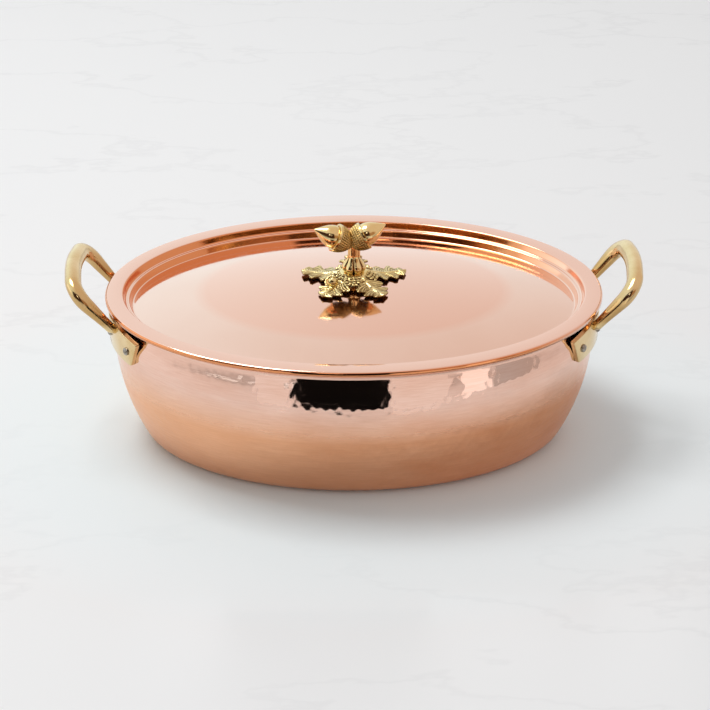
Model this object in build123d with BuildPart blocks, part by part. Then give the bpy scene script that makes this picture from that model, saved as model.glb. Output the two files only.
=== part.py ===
from build123d import *
import math
import os

# Oval roasting pan with a lid: hammered copper, with cast brass handles and finial.
# Millimetres, +Z up, origin on the table under the middle of the pan.

# Overall sizes
lid_length = 350.0
lid_width = 245.0
table_to_lid_rim = 110.7

# Sheet metal and the fit of the lid
wall = 2.0
lid_sheet = 1.4
lip_clearance = 0.6

# Pan wall, measured inwards from the outer edge of the lid
belly_inset = 4.9
belly_below_lid_rim = 25.4
wall_lean = 26.4
corner_radius = 13.3
neck_inset = 7.5
neck_below_lid_rim = 8.5
rim_flare = 0.5
floor_overlap = 10.0

# Lid: flat rim with a turned-down lip, two steps and a domed panel
rim_width = 12.5
lip_drop = 3.0
step_drop = 5.0
step_slope = 1.7
ledge_width = 2.8
bend_radius = 1.6
panel_tab = 2.5
dome_rise = 16.8
dome_seat = 0.1
dome_sections = 7

# Handle: a loop of cast brass that leans out and up from two foot plates
loop_tilt = 51.0
foot_half_span = 33.0
loop_half_span = 36.5
loop_reach = 46.6
loop_shoulder_drop = 6.0
loop_corner_radius = 14.0
loop_crown_radius = 100.0
leg_bend_radius = 9.0
leg_rib_length = 3.6
foot_below_plate_top = 2.7
leg_diameter = 7.2
grip_width = 12.2
grip_thickness = 10.0

# Foot plates
plate_thickness = 3.2
plate_height = 19.0
plate_peak_rise = 3.5
plate_top_length = 60.0
plate_bottom_length = 44.0
plate_below_lid_rim = 12.5
plate_edge_chamfer = 0.6

# Rivets, two through each foot plate
rivet_from_plate_end = 15.0
rivet_below_plate_top = 9.3
shank_diameter = 3.6
rivet_head_diameter = 5.6
rivet_head_height = 2.2
rivet_head_round = 1.5
rivet_foot_diameter = 6.4
rivet_foot_height = 1.2
rivet_seat_gap = 0.95
hole_clearance = 0.05

# Finial leaves: five oak leaves, a hub, berries and a bud, in one casting
leaf_count = 5
leaf_reach = 39.5
leaf_half_width = 11.5
leaf_thickness = 2.2
leaf_lift = 0.9
leaf_lobes = 3
leaf_lobe_depth = 0.4
leaf_fullness = 1.3
leaf_roundness = 0.7
leaf_tip_radius = 2.0
leaf_points = 24
midrib_radius = 1.2
midrib_tip_radius = 0.4
midrib_start = 8.0
hub_radius = 11.0
hub_height = 7.4
hub_skirt_radius = 17.0
hub_top_radius = 9.3
berry_radius = 2.3
berry_tiers = ((11.0, 1.5), (14.4, 3.5))
berries_per_gap = 3
berry_step = 20.0
bud_radius = 4.6
bud_distance = 19.5
bud_turn = 218.0

# Finial acorns: a fluted stem that carries two acorns in their cups, in one casting
stem_foot_radius = 8.1
stem_foot_height = 3.6
stem_edge = 1.0
stem_waist_radius = 3.9
stem_waist_height = 12.4
stem_flare_radius = 5.7
flute_count = 8
flute_radius = 1.2
acorn_centre_height = 28.6
acorn_centre_shift = -2.8
acorn_tilt = 26.5
acorn_turn = 9.0
cup_depth = 11.7
cup_radius = 9.75
cup_lip = 1.0
cup_heel = 1.3
nut_length = 16.5
nut_tip_radius = 0.6
nut_fullness = ((0.3, 0.88), (0.7, 0.48))
nut_start_slope = 0.6
nut_end_slope = -0.7

# Screw and washer below the lid
screw_diameter = 5.0
screw_bite = 12.0
screw_head_diameter = 9.5
screw_head_height = 2.4
screw_head_chamfer = 0.6
screw_clearance = 0.25
slot_width = 1.3
slot_depth = 1.2
washer_diameter = 14.0
washer_thickness = 1.0

# Worked out from the sizes above
half_length = lid_length / 2
half_width = lid_width / 2
pan_rim_height = table_to_lid_rim - lid_sheet
pan_rim_inset = lid_sheet + lip_clearance
lean = math.radians(wall_lean)
belly_height = table_to_lid_rim - belly_below_lid_rim
wall_radius = (belly_height - corner_radius * (1 - math.sin(lean))) / math.sin(lean)
floor_edge_inset = (
    belly_inset + wall_radius * (1 - math.cos(lean)) + corner_radius * math.cos(lean)
)
panel_inset = rim_width + ledge_width + 2 * step_slope
panel_edge_height = table_to_lid_rim - 2 * step_drop
crown_height = panel_edge_height + dome_rise * (1 - dome_seat**2)
plate_top_height = table_to_lid_rim - plate_below_lid_rim
plate_bottom_height = plate_top_height - plate_height
plate_face_inset = belly_inset - plate_thickness
rivet_height = plate_top_height - rivet_below_plate_top
rivet_spread = plate_top_length / 2 - rivet_from_plate_end
hole_radius = shank_diameter / 2 + hole_clearance
hole_depth = 2 * (wall + plate_thickness)


def oval_plane(across, inset, height, end=1):
    """Plane on the oval, facing straight out, with x_dir level along the wall.

    across is the Y of the point on the lid's edge, end is 1 at the right and -1 at the left.
    """
    angle = math.asin(across / half_width)
    normal = Vector(end * math.cos(angle) / half_length, math.sin(angle) / half_width).normalized()
    edge = Vector(end * half_length * math.cos(angle), half_width * math.sin(angle), height)
    return Plane(edge - normal * inset, x_dir=Vector(0, 0, 1).cross(normal), z_dir=normal)


def upright_section():
    """Upright plane at the right-hand end of the lid: x is minus the inset, y is the height."""
    return Plane((half_length, 0, 0), x_dir=(1, 0, 0), z_dir=(0, -1, 0))


def rivet_planes(end):
    """The four rivets of one handle, each named plane on the outer face of its foot plate."""
    across = {
        "front_outer": -loop_half_span - rivet_spread,
        "front_inner": -loop_half_span + rivet_spread,
        "rear_inner": loop_half_span - rivet_spread,
        "rear_outer": loop_half_span + rivet_spread,
    }
    return {
        place: oval_plane(y, plate_face_inset, rivet_height, end) for place, y in across.items()
    }


# The oval that every wall and ring follows
with BuildLine() as oval:
    EllipticalCenterArc((0, 0, 0), half_length, half_width, arc_size=360)


# Pan body: one raised sheet with a flat floor, leaning wall, drawn-in neck and flared rim
with BuildPart() as pan_body:
    with BuildSketch(upright_section()):
        with BuildLine():
            floor_line = Line((-floor_edge_inset - floor_overlap, 0), (-floor_edge_inset, 0))
            corner = JernArc(floor_line @ 1, floor_line % 1, corner_radius, 90 - wall_lean)
            side = JernArc(corner @ 1, corner % 1, wall_radius, wall_lean)
            Spline(
                side @ 1,
                (-neck_inset, table_to_lid_rim - neck_below_lid_rim),
                (-pan_rim_inset, table_to_lid_rim),
                tangents=[(0, 1), (rim_flare, 1)],
            )
            offset(amount=wall, side=Side.LEFT)
        make_face()
    sweep(path=oval.line)
    with BuildSketch():
        floor_reach = floor_edge_inset + floor_overlap / 2
        Ellipse(half_length - floor_reach, half_width - floor_reach)
    extrude(amount=wall)
    split(bisect_by=Plane.XY.offset(pan_rim_height), keep=Keep.BOTTOM)
    with Locations(*rivet_planes(1).values(), *rivet_planes(-1).values()):
        Hole(hole_radius, depth=hole_depth)


def dome_rings(drop):
    """Height and half-axes of each ring of the domed panel, from its edge up, lowered by drop."""
    inset = panel_inset - lid_sheet / 2
    rings = []
    for step in range(dome_sections):
        share = 1 - (1 - dome_seat) * step / (dome_sections - 1)
        height = panel_edge_height + dome_rise * (1 - share**2) - drop
        rings.append((height, (half_length - inset) * share, (half_width - inset) * share))
    return rings


# Lid: one sheet, its rim and steps follow the oval, its panel is a shallow dome
with BuildPart() as lid:
    for height, reach_x, reach_y in dome_rings(0):
        with BuildSketch(Plane.XY.offset(height)):
            Ellipse(reach_x, reach_y)
    loft()
    extrude(faces().sort_by(Axis.Z)[0], amount=lid_sheet)
    for height, reach_x, reach_y in dome_rings(lid_sheet):
        with BuildSketch(Plane.XY.offset(height)):
            Ellipse(reach_x, reach_y)
    loft(mode=Mode.SUBTRACT)
    with BuildSketch(upright_section()):
        with BuildLine():
            FilletPolyline(
                (0, table_to_lid_rim - lip_drop),
                (0, table_to_lid_rim),
                (-rim_width, table_to_lid_rim),
                (-rim_width - step_slope, table_to_lid_rim - step_drop),
                (-rim_width - step_slope - ledge_width, table_to_lid_rim - step_drop),
                (-panel_inset, panel_edge_height),
                (-panel_inset - panel_tab, panel_edge_height + panel_tab * dome_rise / half_width),
                radius=bend_radius,
            )
            offset(amount=lid_sheet, side=Side.LEFT)
        make_face()
    sweep(path=oval.line)
    with Locations((0, 0, crown_height)):
        Hole(screw_diameter / 2 + screw_clearance, depth=2 * lid_sheet)


def loop_point(reach, across):
    """Point on the sloping plane of the handle's loop, with reach measured up from its feet."""
    return foot_x + reach * up_the_loop.X, across, foot_height + reach * up_the_loop.Z


# Right handle: foot plates cut from a ring that follows the wall, and the loop swept on them
tilt = math.radians(loop_tilt)
up_the_loop = Vector(math.cos(tilt), 0, math.sin(tilt))
leg_inset = belly_inset - leg_diameter / 2 - hole_clearance
foot_x = oval_plane(foot_half_span, leg_inset, plate_top_height).origin.X
foot_height = plate_top_height - foot_below_plate_top
with BuildPart() as right_handle:
    with BuildSketch(upright_section()):
        with Locations((-plate_face_inset, plate_bottom_height)):
            Rectangle(
                plate_thickness, plate_height + plate_peak_rise, align=(Align.MAX, Align.MIN)
            )
    sweep(path=oval.line)
    for across in (-loop_half_span, loop_half_span):
        with BuildSketch(oval_plane(across, plate_face_inset, plate_top_height)):
            with BuildLine():
                Polyline(
                    (-plate_top_length / 2, 0),
                    (0, plate_peak_rise),
                    (plate_top_length / 2, 0),
                    (plate_bottom_length / 2, -plate_height),
                    (-plate_bottom_length / 2, -plate_height),
                    close=True,
                )
            make_face()
    extrude(amount=plate_top_length / 2, both=True, mode=Mode.INTERSECT)
    chamfer(faces().group_by(SortBy.AREA)[-1].edges(), plate_edge_chamfer)
    with BuildLine() as loop_path:
        FilletPolyline(
            (foot_x, -foot_half_span, foot_height - leg_rib_length),
            (foot_x, -foot_half_span, foot_height),
            loop_point(loop_reach - loop_shoulder_drop, -loop_half_span),
            loop_point(loop_reach, 0),
            loop_point(loop_reach - loop_shoulder_drop, loop_half_span),
            (foot_x, foot_half_span, foot_height),
            (foot_x, foot_half_span, foot_height - leg_rib_length),
            radius=(
                leg_bend_radius,
                loop_corner_radius,
                loop_crown_radius,
                loop_corner_radius,
                leg_bend_radius,
            ),
        )
    for share, width, thickness in (
        (0, leg_diameter, leg_diameter),
        (0.5, grip_width, grip_thickness),
        (1, leg_diameter, leg_diameter),
    ):
        across_grip = (1, 0, 0) if share != 0.5 else up_the_loop
        section = Plane(loop_path.line @ share, x_dir=across_grip, z_dir=loop_path.line % share)
        with BuildSketch(section):
            Ellipse(width / 2, thickness / 2)
    sweep(path=loop_path.line, multisection=True)
    with Locations(loop_path.line @ 0, loop_path.line @ 1):
        Sphere(leg_diameter / 2)
    with Locations(*rivet_planes(1).values()):
        Hole(hole_radius, depth=hole_depth)


# Left handle: the same casting turned round
with BuildPart() as left_handle:
    mirror(right_handle.part, about=Plane.YZ)


def make_rivet(place):
    """One rivet: domed head on the plate at place, shank, and a flat foot inside the pan."""
    foot_top = -plate_thickness - wall - rivet_seat_gap
    with BuildPart() as rivet:
        with BuildSketch(place.offset(foot_top - rivet_foot_height)):
            Circle(rivet_foot_diameter / 2)
        extrude(amount=rivet_foot_height)
        with BuildSketch(place.offset(foot_top)):
            Circle(shank_diameter / 2)
        extrude(amount=-foot_top)
        with BuildSketch(place):
            Circle(rivet_head_diameter / 2)
        extrude(amount=rivet_head_height)
        outer_face = faces().sort_by(Axis(place.origin, place.z_dir))[-1]
        fillet(outer_face.edges(), rivet_head_round)
    return rivet


# Leaf outline, pointing along X from the middle of the finial, with rounded oak lobes
leaf_root = hub_radius / 2
leaf_blade = leaf_reach - leaf_tip_radius - leaf_root
leaf_edge = []
for step in range(leaf_points + 1):
    along = step / leaf_points
    lobe = 1 - leaf_lobe_depth * (1 + math.cos(2 * math.pi * leaf_lobes * along)) / 2
    swell = max(math.sin(math.pi * along**leaf_fullness), 0) ** leaf_roundness
    reach_y = leaf_tip_radius + (leaf_half_width - leaf_tip_radius) * swell * lobe
    leaf_edge.append((leaf_root + leaf_blade * along, reach_y))
with BuildSketch() as leaf_outline:
    with BuildLine():
        Spline(*leaf_edge)
        Spline(*[(x, -y) for x, y in leaf_edge])
        ThreePointArc(leaf_edge[-1], (leaf_reach, 0), (leaf_edge[-1][0], -leaf_tip_radius))
        Line((leaf_root, leaf_tip_radius), (leaf_root, -leaf_tip_radius))
    make_face()


# Finial leaves: hub, five veined leaves that stand clear of the dome, berries and a bud
leaf_angle = 360 / leaf_count
first_leaf = 90 - leaf_angle
leaf_top = crown_height + leaf_lift + leaf_thickness
stem_bottom = crown_height + hub_height
with BuildPart() as finial_leaves:
    with BuildSketch(Plane.XY.offset(crown_height + leaf_lift)):
        with PolarLocations(0, leaf_count, start_angle=first_leaf):
            add(leaf_outline.sketch)
    extrude(amount=leaf_thickness)
    with BuildSketch(Plane.XY.offset(crown_height)):
        Circle(hub_radius)
    extrude(amount=leaf_lift + leaf_thickness)
    with Locations((0, 0, leaf_top)):
        Cone(
            hub_skirt_radius,
            hub_top_radius,
            stem_bottom - leaf_top,
            align=(Align.CENTER, Align.CENTER, Align.MIN),
        )
        with PolarLocations(midrib_start, leaf_count, start_angle=first_leaf):
            Cone(
                midrib_radius,
                midrib_tip_radius,
                leaf_reach - midrib_start - leaf_tip_radius,
                rotation=(0, 90, 0),
                align=(Align.CENTER, Align.CENTER, Align.MIN),
            )
        with PolarLocations(bud_distance, 1, start_angle=bud_turn):
            Sphere(bud_radius, arc_size1=0, align=(Align.CENTER, Align.CENTER, Align.MIN))
    for berry_circle, berry_drop in berry_tiers:
        for berry in range(berries_per_gap):
            turn = first_leaf + leaf_angle / 2 + (berry - (berries_per_gap - 1) / 2) * berry_step
            with Locations((0, 0, stem_bottom - berry_drop)):
                with PolarLocations(berry_circle, leaf_count, start_angle=turn):
                    Sphere(berry_radius)
    with Locations((0, 0, stem_bottom)):
        Hole(screw_diameter / 2 + screw_clearance, depth=hub_height)


# Finial acorns: fluted stem on the hub, two tilted cups that meet, and a nut in each cup
acorn_centre = crown_height + acorn_centre_height
nut_radius = cup_radius - cup_lip
with BuildPart() as finial_acorns:
    with BuildSketch(Plane.XZ):
        with BuildLine():
            Polyline(
                (stem_waist_radius, acorn_centre),
                (0, acorn_centre),
                (0, stem_bottom),
                (stem_foot_radius, stem_bottom),
                (stem_foot_radius, stem_bottom + stem_edge),
            )
            Spline(
                (stem_foot_radius, stem_bottom + stem_edge),
                (stem_flare_radius, stem_bottom + stem_foot_height),
                (stem_waist_radius, stem_bottom + stem_waist_height),
                (stem_waist_radius, acorn_centre),
            )
        make_face()
    revolve(axis=Axis.Z)
    with Locations((0, 0, stem_bottom)):
        with PolarLocations(stem_foot_radius, flute_count):
            Cylinder(
                flute_radius,
                stem_foot_height,
                align=(Align.CENTER, Align.CENTER, Align.MIN),
                mode=Mode.SUBTRACT,
            )
    for side in (1, -1):
        turn = math.radians(acorn_turn)
        rise = math.radians(acorn_tilt)
        out = Vector(side * math.cos(turn), side * math.sin(turn), 0)
        up = Vector(0, 0, 1)
        axis = out * math.cos(rise) + up * math.sin(rise)
        across = up * math.cos(rise) - out * math.sin(rise)
        cups_meet = Vector(acorn_centre_shift, 0, acorn_centre)
        with BuildSketch(Plane(cups_meet, x_dir=axis, z_dir=axis.cross(across))):
            with BuildLine():
                EllipticalCenterArc((cup_depth, 0), cup_depth + cup_heel, cup_radius, 90, arc_size=90)
                Polyline(
                    (cup_depth, cup_radius),
                    (cup_depth, nut_radius),
                    (cup_depth - cup_lip, nut_radius - cup_lip),
                )
                Spline(
                    (cup_depth - cup_lip, nut_radius - cup_lip),
                    *[(cup_depth + nut_length * x, nut_radius * y) for x, y in nut_fullness],
                    (cup_depth + nut_length, nut_tip_radius),
                    tangents=[(1, nut_start_slope), (1, nut_end_slope)],
                )
                Line((cup_depth + nut_length, nut_tip_radius), (cup_depth + nut_length, 0))
                Line((cup_depth + nut_length, 0), (-cup_heel, 0))
            make_face()
        revolve(axis=Axis(cups_meet, axis))
    with Locations(Plane((0, 0, stem_bottom), z_dir=(0, 0, -1))):
        Hole(screw_diameter / 2 + hole_clearance, depth=screw_bite + screw_diameter / 2)


# Washer and slotted screw: clamp the leaves and the acorns to the lid from below
washer_top = crown_height - lid_sheet
with BuildPart() as finial_washer:
    with BuildSketch(Plane.XY.offset(washer_top - washer_thickness)):
        Circle(washer_diameter / 2)
        Circle(screw_diameter / 2 + screw_clearance, mode=Mode.SUBTRACT)
    extrude(amount=washer_thickness)

head_bottom = washer_top - washer_thickness - screw_head_height
with BuildPart() as finial_screw:
    with BuildSketch(Plane.XY.offset(head_bottom)):
        Circle(screw_head_diameter / 2)
    extrude(amount=screw_head_height)
    chamfer(edges().sort_by(Axis.Z)[0], screw_head_chamfer)
    with BuildSketch(Plane.XY.offset(head_bottom + screw_head_height)):
        Circle(screw_diameter / 2)
    extrude(amount=stem_bottom + screw_bite - washer_top + washer_thickness)
    with BuildSketch(Plane.XY.offset(head_bottom)):
        Rectangle(screw_head_diameter, slot_width)
    extrude(amount=slot_depth, mode=Mode.SUBTRACT)


# Every piece under its own name
pieces = {
    "pan_body": pan_body,
    "lid": lid,
    "right_handle": right_handle,
    "left_handle": left_handle,
    "finial_leaves": finial_leaves,
    "finial_acorns": finial_acorns,
    "finial_washer": finial_washer,
    "finial_screw": finial_screw,
}
for end, end_name in ((1, "right"), (-1, "left")):
    for place_name, place in rivet_planes(end).items():
        pieces[f"{end_name}_{place_name}_rivet"] = make_rivet(place)

os.makedirs("parts", exist_ok=True)
for name, piece in pieces.items():
    piece.part.label = name
    export_step(piece.part, f"parts/{name}.step")
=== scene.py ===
import math
import random

import bmesh
import bpy
import numpy as np
from mathutils import Matrix, Vector
from mathutils.geometry import interpolate_bezier


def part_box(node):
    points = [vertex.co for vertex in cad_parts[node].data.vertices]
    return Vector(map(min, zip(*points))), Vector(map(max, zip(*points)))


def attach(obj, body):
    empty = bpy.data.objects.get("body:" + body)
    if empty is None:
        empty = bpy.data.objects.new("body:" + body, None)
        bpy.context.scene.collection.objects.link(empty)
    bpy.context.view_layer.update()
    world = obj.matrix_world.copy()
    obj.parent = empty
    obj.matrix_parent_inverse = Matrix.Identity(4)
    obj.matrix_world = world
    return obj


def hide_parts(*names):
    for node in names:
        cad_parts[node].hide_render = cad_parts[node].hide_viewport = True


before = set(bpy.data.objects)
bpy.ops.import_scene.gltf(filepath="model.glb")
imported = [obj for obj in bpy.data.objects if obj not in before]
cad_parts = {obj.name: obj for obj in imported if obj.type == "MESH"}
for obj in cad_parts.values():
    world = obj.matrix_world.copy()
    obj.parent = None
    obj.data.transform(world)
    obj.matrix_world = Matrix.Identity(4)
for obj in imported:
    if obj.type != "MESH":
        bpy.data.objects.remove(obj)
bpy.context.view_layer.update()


# Pan body: one sheet of copper, raised into an oval with a flat floor, a leaning wall and a
# drawn-in neck. A round-faced hammer has planished the wall in rows, and the inside is wiped
# with tin. The belly is satin below and polished in the band under the lid.
mm = 0.001
half_length = 175.0 * mm
half_width = 122.5 * mm
pan_wall = 2.0 * mm
pan_floor_inset = 35.08 * mm
pan_corner_radius = 13.3 * mm
pan_lean = 26.4
pan_belly_inset = 4.9 * mm
pan_belly_height = 85.3 * mm
pan_wall_radius = 175.2 * mm
pan_neck_inset = 7.83 * mm
pan_neck_height = 100.5 * mm
pan_rim_inset = 2.78 * mm
pan_rim_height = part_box("pan_body")[1].z
pan_rim_round = 0.6 * mm
pan_shoulder_height = 91.8 * mm
pan_neck_foot_height = 98.3 * mm
pan_neck_top_height = 103.0 * mm
pan_flare_height = 105.5 * mm
pan_flare_inset = 5.26 * mm
pan_flare_inset_inside = 7.3 * mm
pan_turns = 720
mark_width = 6.6 * mm
mark_depth = 0.17 * mm
mark_wander = 0.24
mark_row_share = 0.87
mark_reach = 0.62 * mark_width
marks_fade_from = 97.0 * mm
marks_fade_to = 102.0 * mm
polish_from = 50.0 * mm
polish_to = 78.0 * mm
# Painted highlight from the key lamp on the left: along X it fades out between these two
left_highlight_from = -170.0 * mm
left_highlight_to = 60.0 * mm
# Painted light: the satin tones are a deeper, redder copper than the bright ones, for the light
# bouncing in the hammer marks
satin_bounce_tones = ((0.80, 0.34, 0.165, 1), (0.92, 0.46, 0.26, 1))
bright_tones = ((0.90, 0.565, 0.44, 1), (0.96, 0.66, 0.545, 1))
# Tone of the painted highlight on the left
left_highlight_tone = (0.98, 0.55, 0.33, 1)
stroke_tone = (0.62, 0.25, 0.13, 1)
tin_tones = ((0.56, 0.54, 0.50, 1), (0.76, 0.75, 0.72, 1))


def inset(distance):
    """Reach from the middle of the round shape, for what lies that far in from its edge."""
    return half_length - distance


def profile_line(bm, last, reach, height, rows=1):
    """Carries a profile on in a straight line, in equal rows, and returns its new last point."""
    step = (Vector((reach, 0, height)) - last.co) / rows
    for _ in range(rows):
        last = bmesh.ops.extrude_vert_indiv(bm, verts=[last])["verts"][0]
        bmesh.ops.translate(bm, verts=[last], vec=step)
    return last


def profile_arc(bm, last, reach, height, degrees, rows):
    """Carries a profile on round the centre at that reach and height, to its new last point."""
    made = bmesh.ops.spin(
        bm, geom=[last], cent=(reach, 0, height), axis=(0, -1, 0),
        angle=math.radians(degrees), steps=rows,
    )
    return made["geom_last"][0]


def profile_bend(bm, last, leaving, arriving, end, rows):
    """Carries a profile on along a smooth bend; its two handles and its end are (reach, height)."""
    points = [Vector((reach, 0, height)) for reach, height in (leaving, arriving, end)]
    for point in interpolate_bezier(last.co, *points, rows + 1)[1:]:
        last = bmesh.ops.extrude_vert_indiv(bm, verts=[last])["verts"][0]
        last.co = point
    return last


def spin_round(bm, turns):
    """Spins the profile into a closed round shape whose faces point outwards."""
    bmesh.ops.spin(
        bm, geom=bm.verts[:] + bm.edges[:], cent=(0, 0, 0), axis=(0, 0, 1),
        angle=2 * math.pi, steps=turns, use_merge=True,
    )
    bmesh.ops.remove_doubles(bm, verts=bm.verts[:], dist=0.005 * mm)
    bmesh.ops.recalc_face_normals(bm, faces=bm.faces[:])


# Share of the way round the oval against the angle of its ellipse, so that rows of marks and
# mesh are evenly spaced along the wall
ellipse_turn = np.linspace(0, 2 * math.pi, 4001)
ellipse_step = np.hypot(half_length * np.sin(ellipse_turn), half_width * np.cos(ellipse_turn))
ellipse_share = np.concatenate(([0], np.cumsum((ellipse_step[1:] + ellipse_step[:-1]) / 2)))
oval_length = float(ellipse_share[-1] * ellipse_turn[1])
ellipse_share = ellipse_share / ellipse_share[-1]


def oval_point(share, distance, height):
    """Point that share of the way round the oval, inset from its edge, with its outward normal."""
    turn = float(np.interp(share % 1.0, ellipse_share, ellipse_turn))
    normal = Vector((math.cos(turn) / half_length, math.sin(turn) / half_width, 0)).normalized()
    edge = Vector((half_length * math.cos(turn), half_width * math.sin(turn), height))
    return edge - distance * normal, normal


def press_oval(bm, inmost):
    """Presses a round shape into the oval: insets stay true up to inmost, and what lies
    further in is drawn towards the middle."""
    for vert in bm.verts:
        reach = math.hypot(vert.co.x, vert.co.y)
        share = math.atan2(vert.co.y, vert.co.x) / (2 * math.pi)
        point, _ = oval_point(share, min(half_length - reach, inmost), vert.co.z)
        shrink = min(reach / inset(inmost), 1)
        vert.co = Vector((point.x * shrink, point.y * shrink, vert.co.z))


def make_piece(bm, name, finishes, sharp=40):
    """Turns the finished bmesh into an object, smooth but for its sharp edges."""
    mesh = bpy.data.meshes.new(name)
    bm.to_mesh(mesh)
    bm.free()
    for finish in finishes:
        mesh.materials.append(finish)
    mesh.shade_smooth()
    mesh.set_sharp_from_angle(angle=math.radians(sharp))
    piece = bpy.data.objects.new(name, mesh)
    bpy.context.scene.collection.objects.link(piece)
    return piece


def new_metal(name, roughness):
    """A bare metal finish: its node tree, its shader and the piece's own coordinates."""
    finish = bpy.data.materials.new(name)
    finish.use_nodes = True
    tree = finish.node_tree
    shader = tree.nodes["Principled BSDF"]
    shader.inputs["Metallic"].default_value = 1.0
    shader.inputs["Roughness"].default_value = roughness
    place = tree.nodes.new("ShaderNodeTexCoord").outputs["Object"]
    return finish, tree, shader, place


def add(tree, kind, sockets, **settings):
    """Adds a node; each socket gets a value, or the output that feeds it."""
    made = tree.nodes.new("ShaderNode" + kind)
    for name, value in settings.items():
        setattr(made, name, value)
    for name, value in sockets.items():
        if isinstance(value, bpy.types.NodeSocket):
            tree.links.new(value, made.inputs[name])
        else:
            made.inputs[name].default_value = value
    return made


def stretched(tree, place, scale):
    """The coordinates, scaled differently along each axis."""
    return add(tree, "Mapping", {"Vector": place, "Scale": scale}).outputs["Vector"]


def noise(tree, place, scale, detail=3.0, roughness=0.55):
    """Cloudy noise between 0 and 1."""
    sockets = {"Vector": place, "Scale": scale, "Detail": detail, "Roughness": roughness}
    return add(tree, "TexNoise", sockets).outputs["Fac"]


def between(tree, value, low, high, start, end):
    """Value from low to high, turned into start to end, and held there beyond."""
    sockets = {"Value": value, "From Min": low, "From Max": high, "To Min": start, "To Max": end}
    return add(tree, "MapRange", sockets).outputs["Result"]


def patches(tree, place, scale, detail=3.0, low=0, high=1):
    """Soft patches: the same noise with more contrast, from low to high."""
    return between(tree, noise(tree, place, scale, detail), 0.3, 0.7, low, high)


def painted(tree, name):
    """What the mesh carries at each point under that name."""
    return add(tree, "Attribute", {}, attribute_name=name).outputs["Fac"]


def parts_of(tree, vector):
    """The three parts of a place or direction, by the names of their axes."""
    return add(tree, "SeparateXYZ", {"Vector": vector}).outputs


def mixed(tree, share, first, second):
    """Mix of two colours."""
    return add(tree, "Mix", {0: share, 6: first, 7: second}, data_type="RGBA").outputs[2]


def sums(tree, operation, first, second):
    """One step of arithmetic on two values."""
    return add(tree, "Math", {0: first, 1: second}, operation=operation).outputs[0]


def surface(tree, shader, tone, roughness):
    """Feeds the shader its colour and its roughness."""
    tree.links.new(tone, shader.inputs["Base Color"])
    tree.links.new(roughness, shader.inputs["Roughness"])


def relief(tree, shader, height, distance, strength=1.0):
    """Fine relief that is too small for the mesh."""
    sockets = {"Height": height, "Distance": distance, "Strength": strength}
    tree.links.new(add(tree, "Bump", sockets).outputs["Normal"], shader.inputs["Normal"])


# Planished copper: satin with fine level strokes low down, in a deeper copper that is painted
# light for the light bouncing in its hammer marks, paler towards the left as a painted highlight
# from the key lamp, and brighter in the polished band above
pan_copper, tree, shader, place = new_metal("planished copper", 0.2)
spot = parts_of(tree, place)
polish = between(tree, spot["Z"], polish_from, polish_to, 0.0, 1.0)
# Painted highlight: paler copper towards the left-hand end, where the key lamp stands
left_highlight = between(tree, spot["X"], left_highlight_from, left_highlight_to, 0.9, 0.0)
clouds = patches(tree, stretched(tree, place, (1, 1, 2.2)), 22.0, 5.0)
strokes = noise(tree, stretched(tree, place, (14, 14, 260)), 5.0, 6.0)
grain = noise(tree, place, 900.0, 2.0)
lower_wall_painted_tone = mixed(tree, left_highlight, mixed(tree, clouds, *satin_bounce_tones), left_highlight_tone)
tone = mixed(tree, polish, lower_wall_painted_tone, mixed(tree, clouds, *bright_tones))
tone = mixed(tree, between(tree, strokes, 0.35, 0.62, 0.0, 0.16), tone, stroke_tone)
satin = between(tree, polish, 0.0, 1.0, 0.34, 0.055)
satin = sums(tree, "ADD", satin, between(tree, strokes, 0.3, 0.7, -0.03, 0.04))
surface(tree, shader, tone, satin)
relief(tree, shader, sums(tree, "ADD", strokes, grain), 0.00002, 0.5)

# Tin lining: wiped on by hand in cloudy swirls
tin_lining, tree, shader, place = new_metal("wiped tin", 0.3)
swirls = noise(tree, place, 30.0, 6.0)
wiped = noise(tree, stretched(tree, place, (8, 8, 60)), 6.0, 4.0)
tone = mixed(tree, between(tree, swirls, 0.3, 0.7, 0, 1), *tin_tones)
surface(tree, shader, tone, between(tree, wiped, 0.3, 0.7, 0.24, 0.42))
relief(tree, shader, swirls, 0.00006, 0.6)

bm = bmesh.new()
belly_centre = inset(pan_belly_inset + pan_wall_radius)
last = bm.verts.new((0, 0, 0))
last = profile_line(bm, last, inset(pan_floor_inset), 0, rows=3)
last = profile_arc(bm, last, inset(pan_floor_inset), pan_corner_radius, 90 - pan_lean, 9)
last = profile_arc(bm, last, belly_centre, pan_belly_height, pan_lean, 54)
last = profile_bend(
    bm, last, (inset(pan_belly_inset), pan_shoulder_height),
    (inset(pan_neck_inset), pan_neck_foot_height), (inset(pan_neck_inset), pan_neck_height), 11,
)
last = profile_bend(
    bm, last, (inset(pan_neck_inset), pan_neck_top_height),
    (inset(pan_flare_inset), pan_flare_height),
    (inset(pan_rim_inset), pan_rim_height - pan_rim_round), 8,
)
rim_outer = inset(pan_rim_inset + pan_rim_round)
rim_inner = inset(pan_rim_inset + pan_wall - pan_rim_round)
last = profile_arc(bm, last, rim_outer, pan_rim_height - pan_rim_round, 90, 3)
last = profile_line(bm, last, rim_inner, pan_rim_height)
last = profile_arc(bm, last, rim_inner, pan_rim_height - pan_rim_round, 90, 3)
neck_inside = inset(pan_neck_inset + pan_wall)
belly_inside = inset(pan_belly_inset + pan_wall)
last = profile_bend(
    bm, last, (inset(pan_flare_inset_inside), pan_flare_height), (neck_inside, pan_neck_top_height),
    (neck_inside, pan_neck_height), 5,
)
last = profile_bend(
    bm, last, (neck_inside, pan_neck_foot_height), (belly_inside, pan_shoulder_height),
    (belly_inside, pan_belly_height), 6,
)
last = profile_arc(bm, last, belly_centre, pan_belly_height, -pan_lean, 16)
last = profile_arc(bm, last, inset(pan_floor_inset), pan_corner_radius, pan_lean - 90, 7)
profile_line(bm, last, 0, pan_wall, rows=2)
spin_round(bm, pan_turns)
press_oval(bm, pan_floor_inset)
bm.normal_update()

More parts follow.
